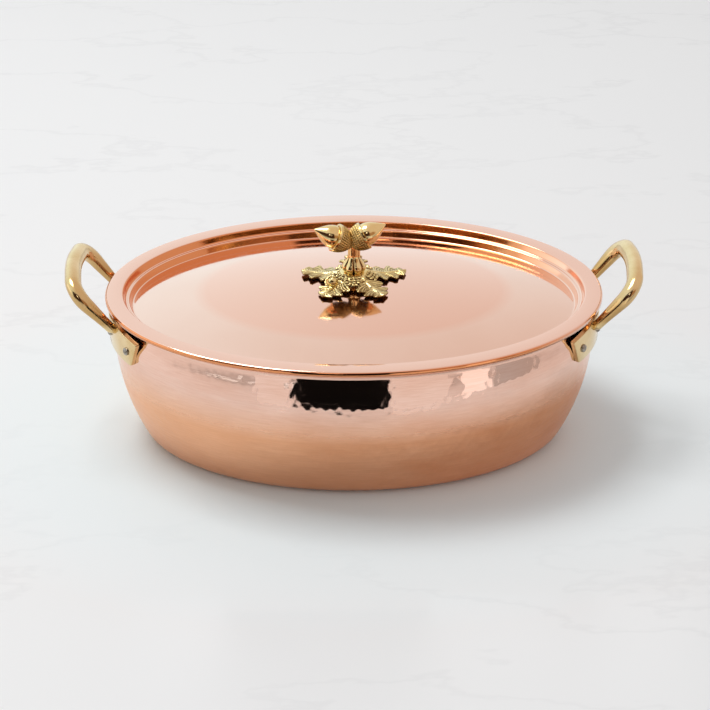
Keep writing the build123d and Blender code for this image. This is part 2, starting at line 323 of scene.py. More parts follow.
# The blows fell in a staggered lattice, each a little off its place
mark_columns = round(oval_length / mark_width)
mark_pitch = oval_length / mark_columns
mark_row_height = mark_width * mark_row_share
chance = random.Random(11)
wander = mark_wander * mark_width
mark_rows = math.ceil(pan_rim_height / mark_row_height) + 1
mark_offsets = [
    [(chance.uniform(-wander, wander), chance.uniform(-wander, wander))
     for _ in range(mark_columns)]
    for _ in range(mark_rows)
]


def hammer_hollow(along, up):
    """Depth of the nearest blow's shallow hollow: 1 in its middle, 0 on the ridge between blows."""
    row = math.floor(up / mark_row_height)
    nearest = mark_width
    for r in range(max(row - 1, 0), min(row + 2, mark_rows)):
        stagger = 0.5 * mark_pitch * (r % 2)
        column = round((along - stagger) / mark_pitch)
        for c in (column - 1, column, column + 1):
            aside, over = mark_offsets[r][c % mark_columns]
            across = along - stagger - c * mark_pitch - aside
            nearest = min(nearest, math.hypot(across, up - (r + 0.5) * mark_row_height - over))
    return 1 - min(nearest / mark_reach, 1) ** 2


for vert in bm.verts:
    outward = vert.co.x * vert.normal.x + vert.co.y * vert.normal.y
    if outward > 0 and 1 * mm < vert.co.z < marks_fade_to:
        turn = math.atan2(vert.co.y / half_width, vert.co.x / half_length) % (2 * math.pi)
        along = float(np.interp(turn, ellipse_turn, ellipse_share)) * oval_length
        fade = min(1, (marks_fade_to - vert.co.z) / (marks_fade_to - marks_fade_from))
        vert.co -= vert.normal * mark_depth * fade * hammer_hollow(along, vert.co.z)
for face in bm.faces:
    middle = face.calc_center_median()
    facing_in = middle.x * face.normal.x + middle.y * face.normal.y < 0
    on_floor = face.normal.z > 0.5 and middle.z < pan_belly_height
    face.material_index = 1 if (facing_in or on_floor) and middle.z > 0.5 * mm else 0
pan = make_piece(bm, "pan_body_planished", [pan_copper, tin_lining])
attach(pan, "pan")
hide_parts("pan_body")


# Lid: one sheet of copper, spun and pressed. A turned-down lip hooks over the pan's rim, two
# steps lead down from the flat rim, and a low dome fills the middle. It is polished on top and
# tinned underneath.
lid_sheet = 1.4 * mm
lid_rim_height = 110.7 * mm
lid_rim_width = 12.5 * mm
lid_lip_drop = 3.0 * mm
lid_step_drop = 5.0 * mm
lid_step_slope = 1.7 * mm
lid_ledge_width = 2.8 * mm
lid_bend_radius = 1.6 * mm
lid_turns = 480
dome_inset = 18.0 * mm
dome_start = 20.6 * mm
dome_rise = 16.8 * mm
crown_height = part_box("lid")[1].z
dome_rows = 34
# Share of the painted step reflection that the ledge between the steps gets
ledge_reflection_share = 0.3
lip_turn = 90
step_turn = 71.2
dome_turn = 60
flat_rim_from = 108.5 * mm
flat_rim_to = 110.0 * mm
# Painted step reflection: full up to the first of these along X, faint from the second
step_reflection_full_to = 120.0 * mm
step_reflection_faint_from = 165.0 * mm
lid_tones = ((0.915, 0.665, 0.55, 1), (0.955, 0.72, 0.61, 1))
flat_rim_tone = (0.93, 0.62, 0.50, 1)
# Tone of the painted reflection on the step walls
step_reflection_tone = (0.80, 0.31, 0.13, 1)

# Polished copper: a mirror but for the haze of the polishing mop and a few faint wipes. The step
# walls get a painted redder reflection, which fades out towards the right-hand end
lid_copper, tree, shader, place = new_metal("polished copper", 0.08)
spot = parts_of(tree, place)
wipes = noise(tree, stretched(tree, place, (30, 5, 5)), 4.0, 6.0, 0.65)
tone = mixed(tree, patches(tree, place, 9.0, 4.0), *lid_tones)
flat_rim = between(tree, spot["Z"], flat_rim_from, flat_rim_to, 0, 1)
tone = mixed(tree, flat_rim, tone, flat_rim_tone)
# Painted reflection: the step walls redder, fading towards the right-hand end
step_reflection = between(tree, spot["X"], step_reflection_full_to, step_reflection_faint_from, 1.0, 0.2)
step_reflection = sums(tree, "MULTIPLY", painted(tree, "step wall"), step_reflection)
tone = mixed(tree, step_reflection, tone, step_reflection_tone)
surface(tree, shader, tone, between(tree, wipes, 0.3, 0.75, 0.05, 0.13))
relief(tree, shader, noise(tree, place, 16.0, 2.0), 0.0004, 0.12)

bm = bmesh.new()
ledge_height = lid_rim_height - lid_step_drop
step_foot = lid_rim_width + lid_step_slope
last = bm.verts.new((inset(0), 0, lid_rim_height - lid_lip_drop))
corners = []
for distance, height, rows in (
    (0, lid_rim_height, 1),
    (lid_rim_width, lid_rim_height, 1),
    (step_foot, ledge_height, 1),
    (step_foot + lid_ledge_width, ledge_height, 1),
    (step_foot + lid_ledge_width + lid_step_slope, ledge_height - lid_step_drop, 1),
):
    last = profile_line(bm, last, inset(distance), height, rows)
    corners.append(last)
last = profile_line(bm, last, inset(dome_start), ledge_height - lid_step_drop)
profile_line(bm, last, 0, ledge_height, dome_rows)
for vert in bm.verts:
    if vert.co.x < inset(dome_start) + 0.01 * mm:
        vert.co.z = crown_height - dome_rise * (vert.co.x / inset(dome_inset)) ** 2
for corner, turn in zip(corners, (lip_turn, step_turn, step_turn, step_turn, dome_turn)):
    bmesh.ops.bevel(
        bm, geom=[corner], offset=lid_bend_radius * math.tan(math.radians(turn / 2)),
        segments=6, profile=0.5, affect="VERTICES", material=-1,
    )
spin_round(bm, lid_turns)
press_oval(bm, dome_start)
for face in bm.faces:
    if face.normal.z < -0.1:
        face.normal_flip()
bm.normal_update()
# Where the painted reflection goes: the step walls, and a little of it on the ledge
step_reflection_mask = bm.verts.layers.float.new("step wall")
for vert in bm.verts:
    on_steps = crown_height - dome_rise < vert.co.z < lid_rim_height - 0.3 * mm
    if abs(vert.co.z - ledge_height) < 0.02 * mm:
        vert[step_reflection_mask] = ledge_reflection_share
    elif on_steps and vert.normal.z < 0.85:
        vert[step_reflection_mask] = 1.0
lid = make_piece(bm, "lid_polished", [lid_copper, tin_lining])
thicken = lid.modifiers.new("sheet", "SOLIDIFY")
thicken.thickness = lid_sheet
thicken.offset = -1
thicken.use_even_offset = True
thicken.material_offset = 1
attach(lid, "lid")
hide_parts("lid")


# Handles: each is one brass casting, a thick loop that leans out and up from two foot plates.
# The plates are curved to the wall, stand clear of the drawn-in neck and take two rivets each.
loop_tilt = math.radians(51)
foot_half_span = 33.0 * mm
loop_half_span = 36.5 * mm
loop_reach = 46.6 * mm
loop_shoulder_drop = 6.0 * mm
loop_corner_radius = 14.0 * mm
loop_crown_radius = 100.0 * mm
leg_radius = 3.6 * mm
leg_bend_radius = 9.0 * mm
leg_inset = 1.25 * mm
leg_foot_height = 95.5 * mm
leg_rib_length = 3.6 * mm
leg_point_length = 6.0 * mm
leg_point_sink = 2.4 * mm
grip_width = 12.6 * mm
grip_thickness = 10.4 * mm
grip_sides = 36
plate_thickness = 3.2 * mm
plate_top_height = 98.2 * mm
plate_height = 19.0 * mm
plate_peak_rise = 3.5 * mm
plate_top_length = 60.0 * mm
plate_bottom_length = 44.0 * mm
plate_corner_round = 1.2 * mm
plate_edge_round = 0.5 * mm
plate_face_inset = pan_belly_inset - plate_thickness
plate_bend_step = 2.0 * mm
# Painted shade on the legs: it fades in over the first heights and out over the second
leg_shade_foot = (98.0 * mm, 103.0 * mm)
leg_shade_top = (112.0 * mm, 136.0 * mm)
handle_tones = ((0.72, 0.51, 0.23, 1), (0.88, 0.70, 0.42, 1))
# Tone of the painted shade on the legs
leg_shade_tone = (0.50, 0.27, 0.08, 1)

# Polished brass: hand finished, so the tone and the shine drift a little along the casting, and
# the legs just above the plates get painted shade, a browner tone for their dark reflections
handle_brass, tree, shader, place = new_metal("polished brass", 0.14)
height = parts_of(tree, place)["Z"]
clouds = patches(tree, place, 38.0, 4.0)
scratches = noise(tree, place, 420.0, 4.0, 0.7)
# Painted shade: the legs just above the plates are browner
legs = between(tree, height, *leg_shade_top, 0.75, 0)
legs = sums(tree, "MULTIPLY", between(tree, height, *leg_shade_foot, 0, 1), legs)
tone = mixed(tree, legs, mixed(tree, clouds, *handle_tones), leg_shade_tone)
haze = between(tree, scratches, 0.35, 0.7, 0.09, 0.17)
haze = sums(tree, "ADD", haze, between(tree, clouds, 0, 1, 0.05, 0))
surface(tree, shader, tone, haze)
relief(tree, shader, noise(tree, place, 110.0, 3.0), 0.0003, 0.25)


def share_at(across):
    """Share of the way round the oval of a point at the right-hand end, from its Y."""
    turn = math.asin(across / half_width) % (2 * math.pi)
    return float(np.interp(turn, ellipse_turn, ellipse_share))


def draw_out(bm, rings, matrix, steps):
    """Draws the open end of the bar out in equal steps, and keeps every new ring of points."""
    for _ in range(steps):
        ring = set(rings[-1])
        edges = {edge for vert in ring for edge in vert.link_edges if edge.other_vert(vert) in ring}
        made = bmesh.ops.extrude_edge_only(bm, edges=list(edges))["geom"]
        rings.append([part for part in made if isinstance(part, bmesh.types.BMVert)])
        bmesh.ops.transform(bm, matrix=matrix, verts=rings[-1])


def bar_middle(ring):
    """Middle of a ring of the bar."""
    return sum((vert.co for vert in ring), Vector()) / len(ring)


def bend_bar(bm, rings, direction, towards, radius, steps):
    """Bends the bar round an arc, from one direction towards another."""
    axis = direction.cross(towards).normalized()
    centre = bar_middle(rings[-1]) + radius * axis.cross(direction)
    turn = Matrix.Rotation(direction.angle(towards) / steps, 4, axis)
    turn = Matrix.Translation(centre) @ turn @ Matrix.Translation(-centre)
    draw_out(bm, rings, turn, steps)


# The middle line of the bar: up the leg, round a corner, along the shoulder and over the crown
upright = Vector((0, 0, 1))
sideways = Vector((0, 1, 0))
up_the_loop = Vector((math.cos(loop_tilt), 0, math.sin(loop_tilt)))
loop_normal = Vector((-math.sin(loop_tilt), 0, math.cos(loop_tilt)))
leg_line = (loop_reach - loop_shoulder_drop) * up_the_loop
leg_line = leg_line - (loop_half_span - foot_half_span) * sideways
shoulder_line = loop_shoulder_drop * up_the_loop + loop_half_span * sideways
leg_run = leg_bend_radius * math.tan(upright.angle(leg_line) / 2)
corner_run = loop_corner_radius * math.tan(leg_line.angle(shoulder_line) / 2)
crown_run = loop_crown_radius * math.tan(shoulder_line.angle(sideways))
straight_leg = leg_line.length - leg_run - corner_run
straight_shoulder = shoulder_line.length - corner_run - crown_run
along_leg = leg_line.normalized()
along_shoulder = shoulder_line.normalized()
leg_foot = oval_point(share_at(-foot_half_span), leg_inset, leg_foot_height - leg_rib_length)[0]

bm = bmesh.new()
start = bmesh.ops.create_circle(bm, cap_ends=True, segments=grip_sides, radius=leg_radius)["verts"]
bmesh.ops.translate(bm, verts=start, vec=leg_foot)
rings = [start]
rib_steps, leg_steps, straight_steps, corner_steps, shoulder_steps, crown_steps = 2, 9, 12, 16, 3, 8
draw_out(bm, rings, Matrix.Translation(upright * (leg_rib_length - leg_run) / rib_steps), rib_steps)
bend_bar(bm, rings, upright, along_leg, leg_bend_radius, leg_steps)
draw_out(bm, rings, Matrix.Translation(along_leg * straight_leg / straight_steps), straight_steps)
bend_bar(bm, rings, along_leg, along_shoulder, loop_corner_radius, corner_steps)
shoulder_step = along_shoulder * straight_shoulder / shoulder_steps
draw_out(bm, rings, Matrix.Translation(shoulder_step), shoulder_steps)
bend_bar(bm, rings, along_shoulder, sideways, loop_crown_radius, crown_steps)

# The bar is round at its legs, oval and thicker at the grip, and dies into the plate in a point
leg_top = bar_middle(rings[rib_steps + leg_steps])
plate_out = oval_point(share_at(-foot_half_span), 0, 0)[1]
for count, ring in enumerate(rings):
    middle = bar_middle(ring)
    share = (middle - leg_top).dot(up_the_loop) / (0.8 * straight_leg + corner_run)
    share = max(0.0, min(1.0, share))
    share = share * share * (3 - 2 * share)
    wide = 1 + share * (grip_width / leg_radius / 2 - 1)
    thick = 1 + share * (grip_thickness / leg_radius / 2 - 1)
    point = min(1.0, (middle.z - leg_foot.z) / leg_point_length)
    point = max(0.03, math.sin(point * math.pi / 2))
    for vert in ring:
        offset = vert.co - middle
        flat = offset.dot(loop_normal) if count > rib_steps + leg_steps else 0
        offset = (offset - flat * loop_normal) * wide + flat * loop_normal * thick
        vert.co = middle + offset * point - plate_out * leg_point_sink * (1 - point)

# Foot plate: a slab that tapers downwards, with a low peak under the leg, bent to the wall
plate = bmesh.ops.create_cube(bm, size=1)["verts"]
bmesh.ops.scale(bm, verts=plate, vec=(plate_thickness, plate_top_length, plate_height))
for vert in plate:
    if vert.co.z < 0:
        vert.co.y *= plate_bottom_length / plate_top_length


def plate_points(bm):
    """Points of the slab while it still lies flat about the origin."""
    return [v for v in bm.verts if abs(v.co.x) < plate_thickness and abs(v.co.z) < plate_height]


ends = [e for v in plate for e in v.link_edges if abs(e.verts[0].co.x - e.verts[1].co.x) > mm]
bmesh.ops.bevel(
    bm, geom=list(set(ends)), offset=plate_corner_round, segments=4, profile=0.5,
    affect="EDGES", material=-1,
)
rim = {e for v in plate_points(bm) for e in v.link_edges}
rim = [e for e in rim if min(v.co.x for v in e.verts) > 0.4 * plate_thickness]
bmesh.ops.bevel(
    bm, geom=rim, offset=plate_edge_round, segments=3, profile=0.5, affect="EDGES", material=-1,
)
cuts = int(plate_top_length / plate_bend_step)
for cut in range(1, cuts):
    points = plate_points(bm)
    faces = {f for v in points for f in v.link_faces}
    edges = {e for v in points for e in v.link_edges}
    bmesh.ops.bisect_plane(
        bm, geom=points + list(edges) + list(faces),
        plane_co=(0, (cut / cuts - 0.5) * plate_top_length, 0), plane_no=(0, 1, 0),
    )
plate_share = share_at(-loop_half_span)
for vert in plate_points(bm):
    depth = vert.co.x + plate_thickness / 2
    peak = plate_peak_rise * (1 - abs(vert.co.y) / (plate_top_length / 2))
    height = plate_top_height + vert.co.z - plate_height / 2 + peak * (vert.co.z > 0)
    vert.co = oval_point(plate_share + vert.co.y / oval_length, pan_belly_inset - depth, height)[0]
bmesh.ops.mirror(bm, geom=bm.verts[:] + bm.edges[:] + bm.faces[:], axis="Y", merge_dist=0.01 * mm)
bmesh.ops.recalc_face_normals(bm, faces=bm.faces[:])

# The left handle is the same casting, the other way round
other = bm.copy()
bmesh.ops.scale(other, verts=other.verts[:], vec=(-1, 1, 1))
bmesh.ops.recalc_face_normals(other, faces=other.faces[:])
for casting, name in ((bm, "right_handle"), (other, "left_handle")):
    handle = make_piece(casting, f"{name}_casting", [handle_brass], sharp=50)
    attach(handle, "pan")
    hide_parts(name)


# Rivets: two through each foot plate, with a low hammered head outside, a shank through plate
# and wall, and a flat foot set down on the tinned side.
rivet_from_plate_end = 15.0 * mm
rivet_height = 88.9 * mm
rivet_shank_radius = 1.8 * mm
rivet_head_radius = 2.8 * mm
rivet_head_height = 2.2 * mm
rivet_head_side = 0.7 * mm
rivet_foot_radius = 3.2 * mm
rivet_foot_height = 1.2 * mm
rivet_foot_round = 0.4 * mm
rivet_seat_gap = 0.95 * mm
rivet_turns = 28
rivet_spread = plate_top_length / 2 - rivet_from_plate_end
rivet_tones = ((0.22, 0.19, 0.155, 1), (0.47, 0.43, 0.38, 1))

# Dull grey rivet metal with the flats of the hammer on it
rivet_metal, tree, shader, place = new_metal("dull rivet metal", 0.35)
spots = patches(tree, place, 700.0)
surface(tree, shader, mixed(tree, spots, *rivet_tones), between(tree, spots, 0, 1, 0.42, 0.26))
facets = add(tree, "TexVoronoi", {"Vector": place, "Scale": 620.0}, feature="F1")
relief(tree, shader, facets.outputs["Distance"], 0.0006, 0.5)

rivet_foot_top = -plate_thickness - pan_wall - rivet_seat_gap
rivet_mesh = bmesh.new()
last = rivet_mesh.verts.new((0, 0, rivet_head_height))
last = profile_bend(
    rivet_mesh, last, (0.62 * rivet_head_radius, rivet_head_height),
    (rivet_head_radius, rivet_head_side + 0.5 * mm), (rivet_head_radius, rivet_head_side), 7,
)
for reach, height in (
    (rivet_head_radius, 0), (rivet_shank_radius, 0), (rivet_shank_radius, rivet_foot_top),
    (rivet_foot_radius - rivet_foot_round, rivet_foot_top),
    (rivet_foot_radius, rivet_foot_top - rivet_foot_round),
    (rivet_foot_radius, rivet_foot_top - rivet_foot_height + rivet_foot_round),
    (rivet_foot_radius - rivet_foot_round, rivet_foot_top - rivet_foot_height),
    (0, rivet_foot_top - rivet_foot_height),
):
    last = profile_line(rivet_mesh, last, reach, height)
spin_round(rivet_mesh, rivet_turns)
for place_name, across in (
    ("front_outer", -loop_half_span - rivet_spread),
    ("front_inner", -loop_half_span + rivet_spread),
    ("rear_inner", loop_half_span - rivet_spread),
    ("rear_outer", loop_half_span + rivet_spread),
):
    spot, outward = oval_point(share_at(across), plate_face_inset, rivet_height)
    aside = Vector((0, 0, 1)).cross(outward)
    seat = Matrix((aside, outward.cross(aside), outward)).transposed().to_4x4()
    seat.translation = spot
    for end_name, end in (("right", 1), ("left", -1)):
        bm = rivet_mesh.copy()
        bmesh.ops.transform(bm, matrix=seat, verts=bm.verts[:])
        bmesh.ops.scale(bm, verts=bm.verts[:], vec=(end, 1, 1))
        bmesh.ops.recalc_face_normals(bm, faces=bm.faces[:])
        rivet = make_piece(bm, f"{end_name}_{place_name}_rivet_set", [rivet_metal], sharp=50)
        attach(rivet, "pan")
        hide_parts(f"{end_name}_{place_name}_rivet")
rivet_mesh.free()


# Finial leaves: one brass casting under the acorns. Its hub stands on the dome, and five oak
# leaves with raised veins slope down from it and end a few millimetres above the copper. Small
# berries are piled round the hub, and one leaf carries a rosebud.
leaf_turns = (18, 90, 162, -130, -54)
leaf_reaches = (39.0 * mm, 39.0 * mm, 39.0 * mm, 35.0 * mm, 34.5 * mm)
leaf_root = 4.0 * mm
leaf_half_width = 11.6 * mm
leaf_lift = 1.3 * mm
leaf_thickness = 0.9 * mm
leaf_lobes = 4
leaf_lobe_depth = 0.38
leaf_scallops = 4
leaf_scallop_depth = 0.06
leaf_sweep = 4.6 * mm
leaf_columns = 84
leaf_rows = 40
leaf_droop = 0.7 * mm
leaf_tip_droop = 0.3 * mm
leaf_wave = 0.5 * mm
leaf_pillow = 0.35 * mm
leaf_base_sink = 0.3 * mm
leaf_lowest = 1.2 * mm
midrib_height = 0.85 * mm
midrib_width = 1.0 * mm
vein_height = 0.5 * mm
vein_width = 0.09
groove_depth = 0.42 * mm
groove_count = 22
hub_radius = 11.0 * mm
hub_top_radius = 9.3 * mm
hub_skirt_radius = 17.0 * mm
hub_height = 7.4 * mm
hub_reach = 25.0 * mm
hub_post_height = 2.4 * mm
# Each row of berries: its reach in mm, how many there are and their radius in mm
berry_rows = ((10.4, 4, 1.25), (12.4, 4, 1.4), (14.4, 4, 1.45), (16.3, 3, 1.4))
berry_step = 158.4
berry_seat = 2.9 * mm
berry_climb = 3.7 * mm
gap_turn = 36
bud_radius = 4.9 * mm
bud_distance = 19.5 * mm
bud_turn = 216
bud_height = 1.6 * mm
bud_petals = 5
bud_twist = 2.1
bud_petal_step = 0.16
bud_squash = 0.92
leaf_top = crown_height + leaf_lift + leaf_thickness
leaf_tones = ((0.80, 0.61, 0.25, 1), (0.95, 0.80, 0.42, 1))
# Brown of the patina in the grooves, also used for painted shade
leaf_patina_and_shade = (0.16, 0.07, 0.015, 1)

# Cast brass: pale where it is rubbed, brown down in the grooves, and dark with painted shade on
# the undersides of the leaves and the lower halves of the berries
leaf_brass, tree, shader, place = new_metal("cast leaf brass", 0.26)
specks = noise(tree, place, 520.0, 4.0, 0.6)
shaded = between(tree, specks, 0.35, 0.75, -0.12, 0.28)
shaded = sums(tree, "ADD", painted(tree, "patina_and_shade"), shaded)
tone = mixed(tree, patches(tree, place, 60.0), *leaf_tones)
tone = mixed(tree, between(tree, shaded, 0.15, 0.75, 0, 1), tone, leaf_patina_and_shade)
surface(tree, shader, tone, between(tree, shaded, 0, 1, 0.17, 0.42))
relief(tree, shader, noise(tree, place, 700.0, 3.0), 0.0003, 0.7)


def join_shape(bm, shape):
    """Adds a finished shape to the casting it belongs to."""
    mesh = bpy.data.meshes.new("shape")
    shape.to_mesh(mesh)
    shape.free()
    bm.from_mesh(mesh)
    bpy.data.meshes.remove(mesh)


def hub_rise(reach):
    """Height the casting gains above its leaf tips, at that distance from the stem."""
    share = min(max((reach - hub_top_radius) / (hub_reach - hub_top_radius), 0.0), 1.0)
    return (crown_height + hub_height - leaf_top - 0.7 * mm) * (1 - share) ** 1.6


def leaf_half(along):
    """Half width of a leaf at that share of its length, lobes and small scallops included."""
    swell = math.sin(math.pi * along**0.85) ** 0.6
    turn = 2 * math.pi * leaf_lobes * along
    lobe = 1 - leaf_lobe_depth * (0.5 + 0.5 * math.cos(turn))
    scallop = 1 - leaf_scallop_depth * (0.5 + 0.5 * math.cos(leaf_scallops * turn))
    return leaf_half_width * swell * lobe * scallop


bm = bmesh.new()
# Darkness at each point: patina in grooves and hollows, and painted shade underneath
patina_and_shade = bm.verts.layers.float.new("patina_and_shade")
for number, turn in enumerate(leaf_turns):
    leaf = bmesh.ops.create_grid(bm, x_segments=leaf_columns, y_segments=leaf_rows, size=1)["verts"]
    spin = math.radians(turn)
    curl = 0.7 + 0.3 * math.sin(2.4 * number)
    for vert in leaf:
        along, aside = min(max((vert.co.x + 1) / 2, 0.0), 1.0), vert.co.y
        out = abs(aside)
        width = max(leaf_half(along), 0.25 * mm * (1 - along))
        x = leaf_root + (leaf_reaches[number] - leaf_root) * along
        x += leaf_sweep * (out**1.4 - 0.35) * math.sin(math.pi * along)
        y = aside * width
        vein = (leaf_lobes * along) % 1.0 - 0.5
        pillow = math.cos(math.pi * vein) * out
        line = math.cos(2 * math.pi * (groove_count * along + 0.9 * math.sin(3 * aside + number)))
        line = max(line, 0) ** 2
        rise = midrib_height * math.exp(-((y / midrib_width) ** 2)) * (1 - 0.6 * along)
        ridge = vein_height * math.exp(-((vein / vein_width) ** 2))
        rise += ridge * (1 - out) ** 0.4 * min(out * 6, 1)
        rise += leaf_pillow * pillow - groove_depth * line * min(out * 4, 1)
        rise -= leaf_droop * curl * out**2.5 + leaf_tip_droop * curl * along**3
        rise += leaf_wave * math.sin(5 * along + 2 * number) * out
        rise += hub_rise(math.hypot(x, y)) - leaf_base_sink
        vert[patina_and_shade] = min(1.0, line * 0.85 * min(out * 5, 1) + 0.45 * (1 - pillow) * out)
        vert.co = Vector((x, y, leaf_top + max(rise, -leaf_lowest)))
    bmesh.ops.rotate(bm, verts=leaf, cent=(0, 0, 0), matrix=Matrix.Rotation(spin, 3, "Z"))
bmesh.ops.remove_doubles(bm, verts=bm.verts[:], dist=0.01 * mm)
under = bmesh.ops.extrude_face_region(bm, geom=bm.faces[:], use_keep_orig=True)["geom"]
under = [part for part in under if isinstance(part, bmesh.types.BMVert)]
bmesh.ops.translate(bm, verts=under, vec=(0, 0, -leaf_thickness))
# The undersides are dark brown: unpolished casting, and painted shade under the leaves
for vert in under:
    vert[patina_and_shade] = 1.3
bmesh.ops.recalc_face_normals(bm, faces=bm.faces[:])

# Hub: a post on the dome, and the mound of the casting round its head
hub = bmesh.new()
last = hub.verts.new((0, 0, crown_height))
for reach, height in (
    (hub_radius - 0.4 * mm, 0), (hub_radius, 0.5 * mm), (hub_radius, hub_post_height),
    (hub_skirt_radius - 1.2 * mm, hub_post_height),
    (hub_skirt_radius - 1.6 * mm, hub_post_height + 0.5 * mm),
    (hub_top_radius + 0.8 * mm, hub_height - 0.8 * mm), (hub_top_radius - 0.4 * mm, hub_height),
    (0, hub_height),
):
    last = profile_line(hub, last, reach, crown_height + height)
spin_round(hub, 80)
join_shape(bm, hub)

# Berries: a heap in each gap between two leaves, from the stem's foot down to the gap's end
chance = random.Random(5)
for turn in leaf_turns:
    for reach, count, radius in berry_rows:
        for number in range(count):
            aside = (number - (count - 1) / 2) * berry_step / reach
            angle = math.radians(turn + gap_turn + aside + chance.uniform(-2.5, 2.5))
            distance = (reach + chance.uniform(-0.4, 0.4)) * mm
            size = radius * chance.uniform(0.85, 1.05) * mm
            slope = (hub_skirt_radius - distance) / (hub_skirt_radius - hub_top_radius)
            height = crown_height + berry_seat + slope * (hub_height - berry_climb)
            height += chance.uniform(-0.2, 0.3) * mm
            spot = Vector((distance * math.cos(angle), distance * math.sin(angle), height))
            berry = bmesh.ops.create_icosphere(bm, subdivisions=3, radius=size)["verts"]
            # Painted shade: each berry darker towards its bottom
            for vert in berry:
                vert[patina_and_shade] = max(0.0, min(1.0, 0.8 - 0.9 * vert.co.z / size))
            bmesh.ops.translate(bm, verts=berry, vec=spot)

# Rosebud: petals wound round a low dome
bud = bmesh.ops.create_uvsphere(bm, u_segments=90, v_segments=44, radius=1)["verts"]
spot = Vector((bud_distance, 0, leaf_top + bud_height))
spot.rotate(Matrix.Rotation(math.radians(bud_turn), 3, "Z"))
for vert in bud:
    angle = math.atan2(vert.co.y, vert.co.x)
    rise = math.asin(max(-1, min(1, vert.co.z))) / (math.pi / 2)
    wind = (bud_petals * angle / (2 * math.pi) + bud_twist * rise) % 1.0
    radius = bud_radius * (1 - bud_petal_step * (1 - wind**1.5))
    vert[patina_and_shade] = 0.9 * max(0.0, 1 - wind / 0.22)
    vert.co = spot + radius * Vector((vert.co.x, vert.co.y, vert.co.z * bud_squash))
leaves = make_piece(bm, "oak_leaves_casting", [leaf_brass], sharp=60)
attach(leaves, "lid")
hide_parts("finial_leaves")


# Finial acorns: one brass casting screwed down on the leaves. A stem of pointed petals carries
# two acorns back to back; the nuts are polished and the cups are covered with small scales.
stem_bottom = crown_height + hub_height
stem_foot_radius = 7.3 * mm
stem_bulge_radius = 8.2 * mm
stem_bulge_height = 3.6 * mm
stem_waist_radius = 4.4 * mm
stem_waist_height = 12.4 * mm
stem_petals = 7
stem_turns = 176
stem_foot_round = 0.9 * mm
petal_turn = 0.27
petal_depth = 0.3
petal_swell = 0.06
petal_notch = 2.4 * mm
acorn_centre = Vector((-2.8 * mm, 0, crown_height + 28.6 * mm))
acorn_tilt = 26.5
acorn_turn = 9
cup_depth = 11.7 * mm
cup_heel = 1.3 * mm
cup_radius = 9.75 * mm
cup_lip = 1.0 * mm
cup_lip_width = 1.5 * mm
cup_lip_swell = 0.3 * mm
cup_slope = 11.5 * mm
cup_slope_length = 15.6 * mm
cup_rows = 84
cup_turns = 220
scale_size = 1.55 * mm
scale_height = 0.8 * mm
scale_spacing = 1.12
scale_half_width = 0.60
scale_half_length = 0.66
nut_length = 16.5 * mm
nut_tip_radius = 0.6 * mm
nut_rows = 30
nut_tones = ((0.80, 0.56, 0.23, 1), (0.88, 0.70, 0.38, 1))
# Brown for patina in the grooves and for painted shade underneath
nut_patina_and_shade = (0.46, 0.20, 0.05, 1)
cup_tone = (0.74, 0.50, 0.18, 1)
# Near-black brown for patina between the scales and for painted shade underneath
cup_patina_and_shade = (0.05, 0.02, 0.004, 1)

# Polished brass, with the soft marks of the buffing wheel, browner in grooves, and darker
# underneath as painted shade
acorn_brass, tree, shader, place = new_metal("polished acorn brass", 0.12)
tone = mixed(tree, patches(tree, place, 70.0, 4.0), *nut_tones)
tone = mixed(tree, painted(tree, "patina_and_shade"), tone, nut_patina_and_shade)
scuffs = noise(tree, place, 300.0, 5.0, 0.7)
surface(tree, shader, tone, between(tree, scuffs, 0.3, 0.7, 0.09, 0.2))
relief(tree, shader, noise(tree, place, 160.0, 3.0), 0.00025, 0.2)

# The same brass between the scales, where it has browned, and painted shade on what faces down
cup_brass, tree, shader, place = new_metal("browned cup brass", 0.28)
specks = noise(tree, place, 420.0, 4.0, 0.6)
shaded = between(tree, specks, 0.3, 0.7, -0.15, 0.3)
shaded = sums(tree, "ADD", painted(tree, "patina_and_shade"), shaded)
tone = mixed(tree, between(tree, shaded, 0.2, 0.8, 0, 1), cup_tone, cup_patina_and_shade)
surface(tree, shader, tone, between(tree, shaded, 0, 1, 0.15, 0.5))
relief(tree, shader, noise(tree, place, 1100.0, 3.0), 0.0001, 0.6)

bm = bmesh.new()
patina_and_shade = bm.verts.layers.float.new("patina_and_shade")
last = bm.verts.new((0, 0, stem_bottom))
last = profile_line(bm, last, stem_foot_radius - 0.8 * mm, stem_bottom, 2)
last = profile_line(bm, last, stem_foot_radius, stem_bottom + stem_foot_round, 3)
last = profile_bend(
    bm, last, (stem_foot_radius + 0.6 * mm, stem_bottom + 1.7 * mm),
    (stem_bulge_radius, stem_bottom + 2.6 * mm),
    (stem_bulge_radius, stem_bottom + stem_bulge_height), 10,
)
last = profile_bend(
    bm, last, (stem_bulge_radius - 0.3 * mm, stem_bottom + 6.2 * mm),
    (stem_waist_radius + 0.5 * mm, stem_bottom + 8.2 * mm),
    (stem_waist_radius, stem_bottom + stem_waist_height), 18,
)
last = profile_line(bm, last, stem_waist_radius, acorn_centre.z, 8)
profile_line(bm, last, 0, acorn_centre.z)
spin_round(bm, stem_turns)

